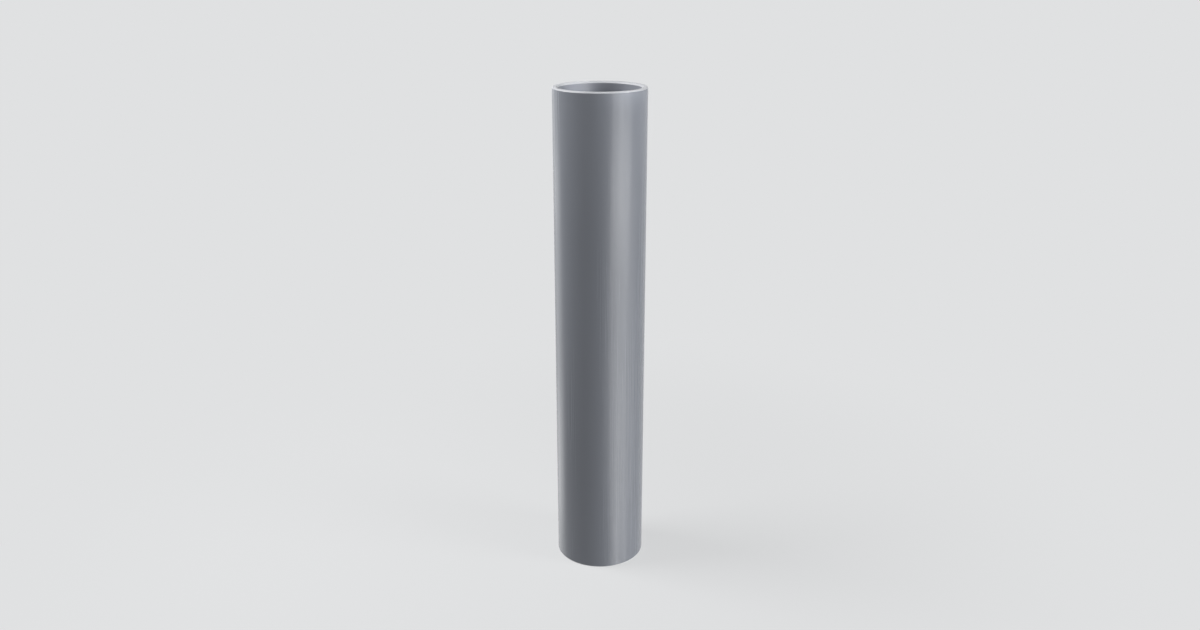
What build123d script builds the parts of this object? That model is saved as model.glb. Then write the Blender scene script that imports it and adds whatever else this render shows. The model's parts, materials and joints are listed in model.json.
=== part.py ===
"""A length of grey PVC-U pressure pipe, standing on one end.

The pipe is extruded as one piece, sawn square to length, and deburred at both
ends with a cutter that leaves a 45 degree chamfer round the bore and a smaller
one round the outside. Millimetres, +Z up, with the origin at the centre of the
lower end, on the surface that the pipe stands on.
"""

import os

from build123d import *

# Section of the pipe
outside_diameter = 110.0
wall_thickness = 6.6

# Cut length
length = 600.0

# Deburred ends, each chamfer's leg along the pipe and across the wall
outer_chamfer = 1.3
bore_chamfer = 2.0

# Worked out from the sizes above
outside_radius = outside_diameter / 2
bore_radius = outside_radius - wall_thickness

# The extruded section runs the whole length, and both sawn ends are chamfered
with BuildPart() as tube:
    with BuildSketch(Plane.XY) as section:
        Circle(outside_radius)
        Circle(bore_radius, mode=Mode.SUBTRACT)
    extrude(amount=length)

    end_edges = tube.edges().filter_by(GeomType.CIRCLE).group_by(SortBy.RADIUS)
    bore_edges = end_edges[0]
    outer_edges = end_edges[-1]
    chamfer(bore_edges, bore_chamfer)
    chamfer(outer_edges, outer_chamfer)

tube.part.label = "tube"

os.makedirs("parts", exist_ok=True)
export_step(tube.part, "parts/tube.step")
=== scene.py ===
"""Looks of a length of grey PVC-U pressure pipe that stands on one end.

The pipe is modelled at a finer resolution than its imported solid, with the same
radii, length and chamfers, and dressed as satin extruded PVC-U with sawn and
deburred ends. The photograph's camera and plain studio lights stand round it.
Metres, +Z up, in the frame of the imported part.
"""

import json
import logging
import math
from collections.abc import Callable
from dataclasses import dataclass, field
from enum import Enum

import bpy
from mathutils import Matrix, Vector


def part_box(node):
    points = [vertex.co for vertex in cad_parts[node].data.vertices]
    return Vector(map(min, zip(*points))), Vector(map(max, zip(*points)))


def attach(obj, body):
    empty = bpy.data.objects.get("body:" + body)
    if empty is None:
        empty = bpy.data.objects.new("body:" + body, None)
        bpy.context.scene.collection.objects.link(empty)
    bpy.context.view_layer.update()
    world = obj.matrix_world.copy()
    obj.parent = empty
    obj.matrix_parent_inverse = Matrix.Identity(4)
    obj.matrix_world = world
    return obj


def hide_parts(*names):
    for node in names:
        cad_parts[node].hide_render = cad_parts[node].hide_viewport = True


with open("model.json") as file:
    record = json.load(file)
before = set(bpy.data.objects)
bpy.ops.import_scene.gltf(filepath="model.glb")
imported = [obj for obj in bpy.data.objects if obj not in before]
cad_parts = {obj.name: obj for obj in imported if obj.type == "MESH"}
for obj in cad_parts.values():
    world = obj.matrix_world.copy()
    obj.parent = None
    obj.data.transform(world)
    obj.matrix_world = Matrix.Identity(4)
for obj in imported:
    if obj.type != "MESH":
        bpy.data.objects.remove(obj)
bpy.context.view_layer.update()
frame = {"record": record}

log = logging.getLogger("pipe")

MM = 0.001

# Refractive index of rigid PVC
PVC_IOR = 1.53

# Noise crowds round a half, so this range of it is spread over a finish's whole range
NOISE_LOW = 0.3
NOISE_HIGH = 0.7

# The step of its coordinate at which a ring texture repeats
RING_REPEAT = math.tau / 20


class Surface(Enum):
    """The pipe's kinds of surface, each with the index of its material."""

    OUTSIDE = 0
    BORE = 1
    CUT_END = 2


def linear(hex_colour: str) -> tuple[float, float, float, float]:
    """Turns an sRGB hex colour into the linear colour that a shader takes.

    Args:
        hex_colour: six hex digits after a hash sign, such as "#777b83".

    Returns:
        Red, green, blue and alpha, in linear light.
    """
    channels = [int(hex_colour[i:i + 2], 16) / 255 for i in (1, 3, 5)]
    lit = [c / 12.92 if c <= 0.04045 else ((c + 0.055) / 1.055) ** 2.4 for c in channels]
    return (*lit, 1.0)


def add_node(
    tree: bpy.types.NodeTree,
    kind: str,
    settings: dict[str | int, object] | None = None,
    links: dict[str | int, bpy.types.NodeSocket] | None = None,
) -> bpy.types.Node:
    """Adds one shader node with its settings and the links into it.

    Args:
        tree: the node tree of a material or of the world.
        kind: the node's type, such as "ShaderNodeBump".
        settings: values by the name of a property, or by the name or index of an input.
        links: output sockets by the name or index of the input that each one feeds.

    Returns:
        The new node.
    """
    node = tree.nodes.new(kind)
    for name, value in (settings or {}).items():
        if isinstance(name, str) and hasattr(node, name):
            setattr(node, name, value)
        else:
            node.inputs[name].default_value = value
    for name, source in (links or {}).items():
        tree.links.new(source, node.inputs[name])
    return node


def new_material(name: str) -> bpy.types.Material:
    """Adds an empty node material.

    Args:
        name: the material's name.

    Returns:
        The material, with no nodes in it.
    """
    material = bpy.data.materials.new(name)
    material.use_nodes = True
    material.node_tree.nodes.clear()
    return material


def background_ray(tree: bpy.types.NodeTree) -> bpy.types.NodeSocket:
    """Adds nodes that tell the rays which see the background from those that light things.

    Args:
        tree: the node tree of a stage material or of the world.

    Returns:
        A socket that is 1 for camera, glossy and transmission rays, and 0 for others.
    """
    path = add_node(tree, "ShaderNodeLightPath")
    seen = add_node(tree, "ShaderNodeMath", {"operation": "MAXIMUM"},
                    {0: path.outputs["Is Camera Ray"], 1: path.outputs["Is Glossy Ray"]})
    seen = add_node(tree, "ShaderNodeMath", {"operation": "MAXIMUM"},
                    {0: seen.outputs[0], 1: path.outputs["Is Transmission Ray"]})
    return seen.outputs[0]


@dataclass(frozen=True)
class ExtrudedPvc:
    """PVC-U as it leaves the die: satin, evenly grey, with faint lines along the pipe.

    The die and the sizing sleeve leave lines that run the whole length, and the
    pigment and the melt leave soft streaks. Both bend the edges of a highlight a
    little, which is what tells a moulded plastic from a painted surface.

    Args:
        name: the material's name.
        colour: the plastic's colour.
        roughness: how dull its skin is.
        roughness_spread: how far the dullness varies either way.
        line_pitch: distance between the die's lines.
        line_depth: their depth.
        line_rate: how fast they change along the pipe, as a share of how fast they change round it.
        cloud_size: width of the melt's soft streaks.
        cloud_rate: the same share for the streaks.
        peel_size: size of the skin's faint unevenness.
        peel_depth: its depth.
        tone_spread: the share by which the tone varies either way.
        line_share: how much of that comes from the lines, and the rest from the streaks.
    """

    name: str
    colour: str = "#777b83"
    roughness: float = 0.27
    roughness_spread: float = 0.01
    line_pitch: float = 0.7 * MM
    line_depth: float = 0.008 * MM
    line_rate: float = 0.004
    cloud_size: float = 55 * MM
    cloud_rate: float = 0.12
    peel_size: float = 1.1 * MM
    peel_depth: float = 0.004 * MM
    tone_spread: float = 0.03
    line_share: float = 0.35

    def material(self) -> bpy.types.Material:
        """Makes the finish.

        Returns:
            The material.
        """
        material = new_material(self.name)
        tree = material.node_tree
        place = add_node(tree, "ShaderNodeTexCoord").outputs["Object"]

        # Lines that a die draws along the pipe, 0.1 to 0.5 mm apart on the real one,
        # drawn a little further apart so that they show from near
        along = add_node(tree, "ShaderNodeMapping", {"Scale": (1.0, 1.0, self.line_rate)},
                         {"Vector": place})
        lines = add_node(tree, "ShaderNodeTexNoise",
                         {"Scale": 1 / self.line_pitch, "Detail": 3.0, "Roughness": 0.6},
                         {"Vector": along.outputs[0]})

        # Soft streaks of the melt, several times longer than they are wide
        drawn_out = add_node(tree, "ShaderNodeMapping", {"Scale": (1.0, 1.0, self.cloud_rate)},
                             {"Vector": place})
        clouds = add_node(tree, "ShaderNodeTexNoise",
                          {"Scale": 1 / self.cloud_size, "Detail": 2.0, "Roughness": 0.5},
                          {"Vector": drawn_out.outputs[0]})

        # The skin's faint unevenness, the same in every direction
        peel = add_node(tree, "ShaderNodeTexNoise",
                        {"Scale": 1 / self.peel_size, "Detail": 1.0}, {"Vector": place})

        tone = add_node(tree, "ShaderNodeMix", {"data_type": "FLOAT", "Factor": self.line_share},
                        {"A": clouds.outputs["Fac"], "B": lines.outputs["Fac"]})
        shade = add_node(tree, "ShaderNodeMapRange",
                         {"From Min": NOISE_LOW, "From Max": NOISE_HIGH,
                          "To Min": 1 - self.tone_spread, "To Max": 1 + self.tone_spread},
                         {"Value": tone.outputs[0]})
        colour = add_node(tree, "ShaderNodeVectorMath",
                          {"operation": "SCALE", 0: linear(self.colour)[:3]},
                          {"Scale": shade.outputs[0]})
        rough = add_node(tree, "ShaderNodeMapRange",
                         {"From Min": NOISE_LOW, "From Max": NOISE_HIGH,
                          "To Min": self.roughness - self.roughness_spread,
                          "To Max": self.roughness + self.roughness_spread},
                         {"Value": tone.outputs[0]})
        line_bump = add_node(tree, "ShaderNodeBump", {"Strength": 1.0, "Distance": self.line_depth},
                             {"Height": lines.outputs["Fac"]})
        bump = add_node(tree, "ShaderNodeBump", {"Strength": 1.0, "Distance": self.peel_depth},
                        {"Height": peel.outputs["Fac"], "Normal": line_bump.outputs[0]})
        shader = add_node(tree, "ShaderNodeBsdfPrincipled", {"IOR": PVC_IOR},
                          {"Base Color": colour.outputs[0], "Roughness": rough.outputs[0],
                           "Normal": bump.outputs[0]})
        add_node(tree, "ShaderNodeOutputMaterial", links={"Surface": shader.outputs[0]})
        return material


@dataclass(frozen=True)
class SawnPvc:
    """PVC-U cut by a saw that runs round the pipe, then deburred by a chamfering blade.

    The cut opens the plastic's skin, so it is duller than the walls and somewhat paler.
    Its colour is set paler still, as painted light for the brightness of the ends that
    face up to the lamps. The blade leaves fine rings that run round the end, and where
    it chatters, short marks that run across it.

    Args:
        name: the material's name.
        colour: colour of the opened plastic, made paler still by painted light.
        roughness: how dull the cut is.
        roughness_spread: how far the dullness varies either way.
        ring_pitch: distance between the saw's rings.
        ring_depth: their depth.
        chatter_marks: how many chatter marks go round the pipe.
        chatter_depth: their depth.
        scuff_size: size of the patches in which the tone and the dullness vary.
        tone_spread: the share by which the tone varies either way.
    """

    name: str
    # Paler than opened plastic alone: partly the cut's own colour, partly painted light on the
    # upturned ends
    colour: str = "#b7b9bd"
    roughness: float = 0.42
    roughness_spread: float = 0.05
    ring_pitch: float = 0.8 * MM
    ring_depth: float = 0.02 * MM
    chatter_marks: float = 90.0
    chatter_depth: float = 0.03 * MM
    scuff_size: float = 2.5 * MM
    tone_spread: float = 0.06

    def material(self) -> bpy.types.Material:
        """Makes the finish.

        Returns:
            The material.
        """
        material = new_material(self.name)
        tree = material.node_tree
        place = add_node(tree, "ShaderNodeTexCoord").outputs["Object"]

        # The saw's rings, 0.2 to 0.4 mm apart on the real one and drawn coarser so that
        # they show
        rings = add_node(tree, "ShaderNodeTexWave",
                         {"wave_type": "RINGS", "rings_direction": "Z",
                          "Scale": RING_REPEAT / self.ring_pitch,
                          "Distortion": 1.2, "Detail": 2.0, "Detail Scale": 0.5},
                         {"Vector": place})

        # Chatter depends only on the direction from the pipe's axis, so it runs across the wall
        level = add_node(tree, "ShaderNodeVectorMath",
                         {"operation": "MULTIPLY", 1: (1.0, 1.0, 0.0)}, {0: place})
        direction = add_node(tree, "ShaderNodeVectorMath", {"operation": "NORMALIZE"},
                             {0: level.outputs[0]})
        chatter = add_node(tree, "ShaderNodeTexNoise",
                           {"Scale": self.chatter_marks / math.tau, "Detail": 3.0, "Roughness": 0.6},
                           {"Vector": direction.outputs[0]})

        # Patches where the blade scuffed the cut more or less
        scuffs = add_node(tree, "ShaderNodeTexNoise",
                          {"Scale": 1 / self.scuff_size, "Detail": 4.0, "Roughness": 0.6},
                          {"Vector": place})
        shade = add_node(tree, "ShaderNodeMapRange",
                         {"From Min": NOISE_LOW, "From Max": NOISE_HIGH,
                          "To Min": 1 - self.tone_spread, "To Max": 1 + self.tone_spread},
                         {"Value": scuffs.outputs["Fac"]})
        colour = add_node(tree, "ShaderNodeVectorMath",
                          {"operation": "SCALE", 0: linear(self.colour)[:3]},
                          {"Scale": shade.outputs[0]})
        rough = add_node(tree, "ShaderNodeMapRange",
                         {"From Min": NOISE_LOW, "From Max": NOISE_HIGH,
                          "To Min": self.roughness - self.roughness_spread,
                          "To Max": self.roughness + self.roughness_spread},
                         {"Value": scuffs.outputs["Fac"]})
        ring_bump = add_node(tree, "ShaderNodeBump", {"Strength": 1.0, "Distance": self.ring_depth},
                             {"Height": rings.outputs["Fac"]})
        bump = add_node(tree, "ShaderNodeBump", {"Strength": 1.0, "Distance": self.chatter_depth},
                        {"Height": chatter.outputs["Fac"], "Normal": ring_bump.outputs[0]})
        shader = add_node(tree, "ShaderNodeBsdfPrincipled", {"IOR": PVC_IOR},
                          {"Base Color": colour.outputs[0], "Roughness": rough.outputs[0],
                           "Normal": bump.outputs[0]})
        add_node(tree, "ShaderNodeOutputMaterial", links={"Surface": shader.outputs[0]})
        return material


def deselect_all() -> None:
    """Deselects every object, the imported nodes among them."""
    bpy.ops.object.select_all(action="DESELECT")


def select_elements(
    piece: bpy.types.Object, kind: str, test: Callable[[list[Vector]], bool]
) -> None:
    """Selects a mesh's edges or faces by where their corners are, and enters edit mode.

    Args:
        piece: the mesh object, which is the active one.
        kind: "EDGE" or "FACE".
        test: says from an element's corner points whether it is wanted.
    """
    bpy.ops.object.mode_set(mode="EDIT")
    bpy.ops.mesh.select_mode(type=kind)
    bpy.ops.mesh.select_all(action="DESELECT")
    bpy.ops.object.mode_set(mode="OBJECT")
    mesh = piece.data
    elements = mesh.edges if kind == "EDGE" else mesh.polygons
    for element in elements:
        if test([mesh.vertices[i].co for i in element.vertices]):
            element.select = True
    bpy.ops.object.mode_set(mode="EDIT")


@dataclass
class PressurePipe:
    """One sawn length of pipe, open right through, with both ends deburred.

    Args:
        outside_radius: radius of the outer wall.
        bore_radius: radius of the bore.
        length: cut length.
        outer_chamfer: leg of the chamfer round the outside of each end.
        bore_chamfer: leg of the chamfer round the bore at each end.
        segments: how many facets go round the pipe.
        rows: how many faces lie along each wall.
        edge_break: width of the small round that every worked edge has.
        edge_break_steps: how many faces lie across that round.
        break_angle: the surface turns by more than this, in degrees, at an edge that gets it.
        tolerance: how near a point must be to a radius or a level to count as on it.
        wall_finish: finish of the outer wall.
        bore_finish: finish of the bore. Its colour is paler than the outer wall's as painted light,
            making up for the light that the pipe's walls keep out of the bore.
        end_finish: finish of the cut ends and their chamfers.
    """

    outside_radius: float
    bore_radius: float
    length: float
    outer_chamfer: float
    bore_chamfer: float
    segments: int = 384
    rows: int = 24
    edge_break: float = 0.2 * MM
    edge_break_steps: int = 3
    break_angle: float = 30.0
    tolerance: float = 0.02 * MM
    wall_finish: ExtrudedPvc = field(default_factory=lambda: ExtrudedPvc("pvc_u_extruded_outside"))
    # The bore's colour is paler than the outer wall's: painted light for the light that the walls
    # keep out of the bore
    bore_finish: ExtrudedPvc = field(default_factory=lambda: ExtrudedPvc(
        "pvc_u_bore_painted_lighter", colour="#878a92", roughness=0.35, line_pitch=0.9 * MM))
    end_finish: SawnPvc = field(default_factory=lambda: SawnPvc("pvc_u_sawn_end_painted_lighter"))

    @classmethod
    def from_record(cls, record: dict) -> "PressurePipe":
        """Reads the pipe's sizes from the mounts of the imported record.

        Args:
            record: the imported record.

        Returns:
            The pipe, with nothing built yet.
        """
        walls = {mount["name"]: mount["dims"] for mount in record["mounts"]}
        low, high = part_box("tube")
        length = high.z - low.z
        return cls(
            outside_radius=walls["outside"]["r_mm"] * MM,
            bore_radius=walls["bore"]["r_mm"] * MM,
            length=length,
            outer_chamfer=(length - walls["outside"]["length_mm"] * MM) / 2,
            bore_chamfer=(length - walls["bore"]["length_mm"] * MM) / 2,
        )

    def is_near(self, point: Vector, radius: float) -> bool:
        """Says whether a point lies at a radius from the pipe's axis."""
        return abs(math.hypot(point.x, point.y) - radius) < self.tolerance

    def is_ring(self, corners: list[Vector], radius: float) -> bool:
        """Says whether an edge runs round the pipe at a radius."""
        level = abs(corners[0].z - corners[1].z) < self.tolerance
        return level and all(self.is_near(corner, radius) for corner in corners)

    def is_end(self, corners: list[Vector]) -> bool:
        """Says whether a face lies in the plane of one of the ends."""
        heights = [corner.z for corner in corners]
        flat = max(heights) - min(heights) < self.tolerance
        middle = self.length / 2
        return flat and abs(abs(heights[0] - middle) - middle) < self.tolerance

    def saw(self) -> bpy.types.Object:
        """Makes the sawn length as a bar, and opens its bore from end to end.

        Returns:
            The pipe with square, unworked ends.
        """
        deselect_all()
        bpy.ops.mesh.primitive_cylinder_add(
            vertices=self.segments, radius=self.outside_radius, depth=self.length,
            end_fill_type="NGON", location=(0.0, 0.0, self.length / 2))
        bpy.ops.object.transform_apply(location=True, rotation=True, scale=True)
        piece = bpy.context.object
        piece.name = "pipe"
        piece.data.name = "pipe"
        select_elements(piece, "FACE", self.is_end)
        bpy.ops.mesh.inset(thickness=self.outside_radius - self.bore_radius, use_even_offset=True)
        bpy.ops.mesh.bridge_edge_loops()
        bpy.ops.object.mode_set(mode="OBJECT")
        return piece

    def deburr(self, piece: bpy.types.Object, radius: float, leg: float) -> None:
        """Cuts a 45 degree chamfer round both ends of a wall.

        Args:
            piece: the pipe.
            radius: radius of the wall.
            leg: the chamfer's leg along the pipe and across the wall.
        """
        select_elements(piece, "EDGE", lambda corners: self.is_ring(corners, radius))
        bpy.ops.mesh.bevel(offset=leg, offset_type="OFFSET", segments=1, affect="EDGES")
        bpy.ops.object.mode_set(mode="OBJECT")

    def divide_walls(self, piece: bpy.types.Object) -> None:
        """Divides both walls into rows along the pipe, so that no face is a long sliver."""
        select_elements(
            piece, "EDGE", lambda corners: abs(corners[0].z - corners[1].z) > self.length / 2)
        bpy.ops.mesh.subdivide(number_cuts=self.rows - 1)
        bpy.ops.mesh.select_all(action="SELECT")
        bpy.ops.mesh.normals_make_consistent(inside=False)
        bpy.ops.object.mode_set(mode="OBJECT")

    def break_edges(self, piece: bpy.types.Object) -> None:
        """Rounds each worked edge a little and smooths the walls round the pipe."""
        bpy.ops.object.shade_smooth()
        rounding = piece.modifiers.new("edge_break", "BEVEL")
        rounding.width = self.edge_break
        rounding.segments = self.edge_break_steps
        rounding.limit_method = "ANGLE"
        rounding.angle_limit = math.radians(self.break_angle)
        rounding.harden_normals = True
        bpy.ops.object.modifier_apply(modifier=rounding.name)

    def build(self) -> bpy.types.Object:
        """Models the pipe.

        Returns:
            The finished mesh object, at the origin, with its place in its mesh.
        """
        piece = self.saw()
        self.deburr(piece, self.outside_radius, self.outer_chamfer)
        self.deburr(piece, self.bore_radius, self.bore_chamfer)
        self.divide_walls(piece)
        self.break_edges(piece)
        return piece

    def surface_of(self, piece: bpy.types.Object, face: bpy.types.MeshPolygon) -> Surface:
        """Says which kind of surface a face belongs to.

        Args:
            piece: the pipe.
            face: one face of its mesh.

        Returns:
            The surface.
        """
        corners = [piece.data.vertices[i].co for i in face.vertices]
        if all(self.is_near(corner, self.outside_radius) for corner in corners):
            return Surface.OUTSIDE
        if all(self.is_near(corner, self.bore_radius) for corner in corners):
            return Surface.BORE
        return Surface.CUT_END

    def dress(self, piece: bpy.types.Object) -> None:
        """Gives the walls and the worked ends their finishes.

        Args:
            piece: the pipe.
        """
        finishes = {
            Surface.OUTSIDE: self.wall_finish,
            Surface.BORE: self.bore_finish,
            Surface.CUT_END: self.end_finish,
        }
        piece.data.materials.clear()
        for surface in Surface:
            piece.data.materials.append(finishes[surface].material())
        for face in piece.data.polygons:
            face.material_index = self.surface_of(piece, face).value

    def join_frame(self, piece: bpy.types.Object) -> None:
        """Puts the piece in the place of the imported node, on the row's only body."""
        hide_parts("tube")
        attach(piece, "root")


@dataclass(frozen=True)
class PhotoCamera:
    """The photograph's camera, found by fitting the pipe's outline.

    Args:
        view_angle: horizontal field of view in degrees.
        distance: how far in front of the pipe's axis the lens is.
        height: how far above the floor the lens is.
        pitch: how far the camera looks down, in degrees.
    """

    view_angle: float = 60.0
    distance: float = 1.2056
    height: float = 0.7455
    pitch: float = 19.3

    def build(self) -> bpy.types.Object:
        """Adds the camera and makes it the scene's own.

        Returns:
            The camera object.
        """
        data = bpy.data.cameras.new("photo_camera")
        data.sensor_fit = "HORIZONTAL"
        data.angle = math.radians(self.view_angle)
        camera = bpy.data.objects.new("photo_camera", data)
        camera.location = (0.0, -self.distance, self.height)
        camera.rotation_euler = (math.radians(90 - self.pitch), 0.0, 0.0)
        bpy.context.scene.collection.objects.link(camera)
        bpy.context.scene.camera = camera
        return camera


def hang_lamp(
    data: bpy.types.Light, azimuth: float, elevation: float, distance: float, aim: float
) -> bpy.types.Object:
    """Hangs a lamp round the pipe and turns it to a point on the pipe's axis.

    Args:
        data: the lamp's own settings.
        azimuth: where it hangs, in degrees from the camera's side towards +X.
        elevation: how high it is seen from the point that it faces, in degrees.
        distance: how far it is from that point.
        aim: height of that point.

    Returns:
        The lamp object, which the camera doesn't see.
    """
    turn = math.radians(azimuth)
    rise = math.radians(elevation)
    towards = Vector((
        math.sin(turn) * math.cos(rise), -math.cos(turn) * math.cos(rise), math.sin(rise)))
    lamp = bpy.data.objects.new(data.name, data)
    lamp.location = Vector((0.0, 0.0, aim)) + towards * distance
    lamp.rotation_euler = towards.to_track_quat("Z", "Y").to_euler()
    lamp.visible_camera = False
    bpy.context.scene.collection.objects.link(lamp)
    return lamp


@dataclass(frozen=True)
class Softbox:
    """One flat studio lamp that lights the whole pipe.

    Args:
        name: the lamp's name.
        azimuth: where it hangs, in degrees from the camera's side towards +X.
        elevation: how high it is seen from the aim point, in degrees.
        width: its width.
        height: its height.
        power: its power in watts.
        distance: how far it is from the aim point.
        aim: height of the point that it faces.
    """

    name: str
    azimuth: float
    elevation: float
    width: float
    height: float
    power: float
    distance: float = 1.6
    aim: float = 0.3

    def build(self) -> bpy.types.Object:
        """Adds the lamp.

        Returns:
            The lamp object.
        """
        data = bpy.data.lights.new(self.name, "AREA")
        data.shape = "RECTANGLE"
        data.size = self.width
        data.size_y = self.height
        data.energy = self.power
        return hang_lamp(data, self.azimuth, self.elevation, self.distance, self.aim)


@dataclass(frozen=True)
class Snoot:
    """One lamp with a narrow soft-edged beam, for one end of the pipe or for the bore.

    Args:
        name: the lamp's name.
        azimuth: where it hangs, in degrees from the camera's side towards +X.
        elevation: how high it is seen from the aim point, in degrees.
        beam: width of its beam in degrees.
        power: its power in watts.
        radius: radius of its opening.
        aim: height of the point that it faces.
        distance: how far it is from the aim point.
    """

    name: str
    azimuth: float
    elevation: float
    beam: float
    power: float
    radius: float
    aim: float
    distance: float = 1.6

    def build(self) -> bpy.types.Object:
        """Adds the lamp.

        Returns:
            The lamp object.
        """
        data = bpy.data.lights.new(self.name, "SPOT")
        data.spot_size = math.radians(self.beam)
        data.spot_blend = 1.0
        data.shadow_soft_size = self.radius
        data.energy = self.power
        return hang_lamp(data, self.azimuth, self.elevation, self.distance, self.aim)


@dataclass
class Studio:
    """A plain pale floor that runs out to the background, with soft lamps round the pipe.

    The camera looks down, so the wall mirrors what lies below the horizon. Most of the
    lamps that make its streaks hang there, and the floor lets their light through.

    Args:
        background: colour that the floor and what lies behind it show to the camera.
        floor_paint: colour of the floor's paint, which the lamps light and the pipe shades.
        floor_radius: how far the floor runs.
        floor_sides: how many sides its rim has.
        fill: level of the light that comes evenly from all round.
        shadow_start: how far from the axis the floor's own shading begins to fade.
        shadow_reach: where it has faded into the background.
        shadow_share: how much of the floor's colour near the pipe is lit by the lamps.
        lamps: the lamps round the pipe.
    """

    background: str = "#e0e1e2"
    floor_paint: str = "#e0e1e2"
    floor_radius: float = 30.0
    floor_sides: int = 96
    fill: float = 0.01
    shadow_start: float = 0.15
    shadow_reach: float = 0.8
    shadow_share: float = 0.2
    lamps: tuple[Softbox | Snoot, ...] = (
        # Strips side by side for the broad streak right of the middle, with more below and above
        Softbox("key_first", 14.0, -20.0, 0.15, 1.0, 0.5),
        Softbox("key_front", 30.0, -20.0, 0.25, 1.0, 2.7),
        Softbox("key", 46.0, -20.0, 0.25, 1.0, 3.25),
        Softbox("key_side", 62.0, -20.0, 0.25, 1.0, 2.9),
        Softbox("key_far_side", 74.0, -20.0, 0.40, 1.0, 1.9),
        Softbox("key_last", 90.0, -20.0, 0.40, 1.0, 1.25),
        Softbox("key_low", 46.0, -37.0, 0.60, 0.9, 1.9),
        Softbox("key_top_front", 36.0, -3.0, 0.30, 0.4, 1.4),
        Softbox("key_top", 52.0, -3.0, 0.30, 0.4, 2.35),
        Softbox("key_top_side", 70.0, -3.0, 0.40, 0.4, 1.65),
        # High lamps on both sides, for the walls' broad tone and the upper cut end
        Softbox("right", 70.0, 26.0, 0.50, 0.5, 9.7),
        Softbox("left", -95.0, 30.0, 0.90, 0.6, 11.7),
        Softbox("left_high", -95.0, 48.0, 0.90, 0.6, 16.4),
        Softbox("overhead", -60.0, 68.0, 0.90, 0.6, 4.0),
        # Lamps behind the pipe, for the thin light along its edges
        Softbox("edge_left", -126.0, -20.0, 0.90, 1.0, 2.1),
        Softbox("edge_left_low", -130.0, -46.0, 1.00, 1.2, 1.5),
        Softbox("edge_left_top", -135.0, 0.0, 1.00, 0.5, 0.65),
        Softbox("back", 180.0, -20.0, 0.50, 1.0, 4.0),
        # Narrow beams on the upper end, over the rim into the bore, and on the foot
        Snoot("upper_end", 40.0, 15.0, 8.0, 25.5, radius=0.12, aim=0.6),
        Snoot("upper_end_right", 80.0, 15.0, 8.0, 32.0, radius=0.12, aim=0.6),
        Snoot("inside_of_bore", 38.0, 12.0, 2.6, 92.0, radius=0.02, aim=0.607),
        Snoot("foot_left", -90.0, -12.0, 6.0, 24.0, radius=0.1, aim=0.0),
        Snoot("foot_front", 46.0, -31.0, 6.0, 6.5, radius=0.1, aim=0.0),
        Snoot("foot_right", 70.0, -31.0, 6.0, 5.0, radius=0.1, aim=0.0),
    )

    def floor_material(self) -> bpy.types.Material:
        """Makes the floor's paint: even and pale as seen, and darker only in the pipe's shadow.

        Returns:
            The material.
        """
        material = new_material("studio_floor_paint")
        tree = material.node_tree
        place = add_node(tree, "ShaderNodeTexCoord").outputs["Object"]
        radius = add_node(tree, "ShaderNodeVectorMath", {"operation": "LENGTH"}, {0: place})
        share = add_node(tree, "ShaderNodeMapRange",
                         {"interpolation_type": "SMOOTHSTEP",
                          "From Min": self.shadow_start, "From Max": self.shadow_reach,
                          "To Min": self.shadow_share, "To Max": 0.0},
                         {"Value": radius.outputs["Value"]})
        glow = add_node(tree, "ShaderNodeEmission",
                        {"Color": linear(self.background), "Strength": 1.0})
        paint = add_node(tree, "ShaderNodeBsdfDiffuse", {"Color": linear(self.floor_paint)})
        seen = add_node(tree, "ShaderNodeMixShader",
                        links={"Fac": share.outputs[0], 1: glow.outputs[0], 2: paint.outputs[0]})
        surface = add_node(tree, "ShaderNodeMixShader",
                           links={"Fac": background_ray(tree),
                                  1: paint.outputs[0], 2: seen.outputs[0]})
        add_node(tree, "ShaderNodeOutputMaterial", links={"Surface": surface.outputs[0]})
        material.cycles.emission_sampling = "NONE"
        return material

    def build_floor(self) -> bpy.types.Object:
        """Lays the floor.

        Returns:
            The floor object.
        """
        deselect_all()
        bpy.ops.mesh.primitive_circle_add(
            vertices=self.floor_sides, radius=self.floor_radius, fill_type="NGON")
        floor = bpy.context.object
        floor.name = "studio_floor"
        floor.data.materials.append(self.floor_material())
        floor.visible_shadow = False
        floor.visible_glossy = False
        floor.visible_diffuse = False
        return floor

    def light_world(self) -> bpy.types.World:
        """Sets the even light from all round and the background that the camera sees.

        Returns:
            The world.
        """
        world = bpy.data.worlds.new("studio")
        world.use_nodes = True
        tree = world.node_tree
        tree.nodes.clear()
        fill = add_node(tree, "ShaderNodeBackground",
                        {"Color": linear("#ffffff"), "Strength": self.fill})
        seen = add_node(tree, "ShaderNodeBackground",
                        {"Color": linear(self.background), "Strength": 1.0})
        mixed = add_node(tree, "ShaderNodeMixShader",
                         links={"Fac": background_ray(tree), 1: fill.outputs[0], 2: seen.outputs[0]})
        add_node(tree, "ShaderNodeOutputWorld", links={"Surface": mixed.outputs[0]})
        bpy.context.scene.world = world
        return world

    def build(self) -> None:
        """Lays the floor, hangs the lamps and lights the world."""
        self.build_floor()
        for lamp in self.lamps:
            lamp.build()
        self.light_world()


def main() -> None:
    """Builds the camera, the pipe and the studio, in that order."""
    logging.basicConfig(level=logging.INFO, format="%(name)s: %(message)s")
    bpy.context.scene.view_settings.view_transform = "Standard"
    PhotoCamera().build()
    pipe = PressurePipe.from_record(frame["record"])
    piece = pipe.build()
    pipe.dress(piece)
    pipe.join_frame(piece)
    log.info("%s: %d faces", piece.name, len(piece.data.polygons))
    Studio().build()


if __name__ == "__main__":
    main()
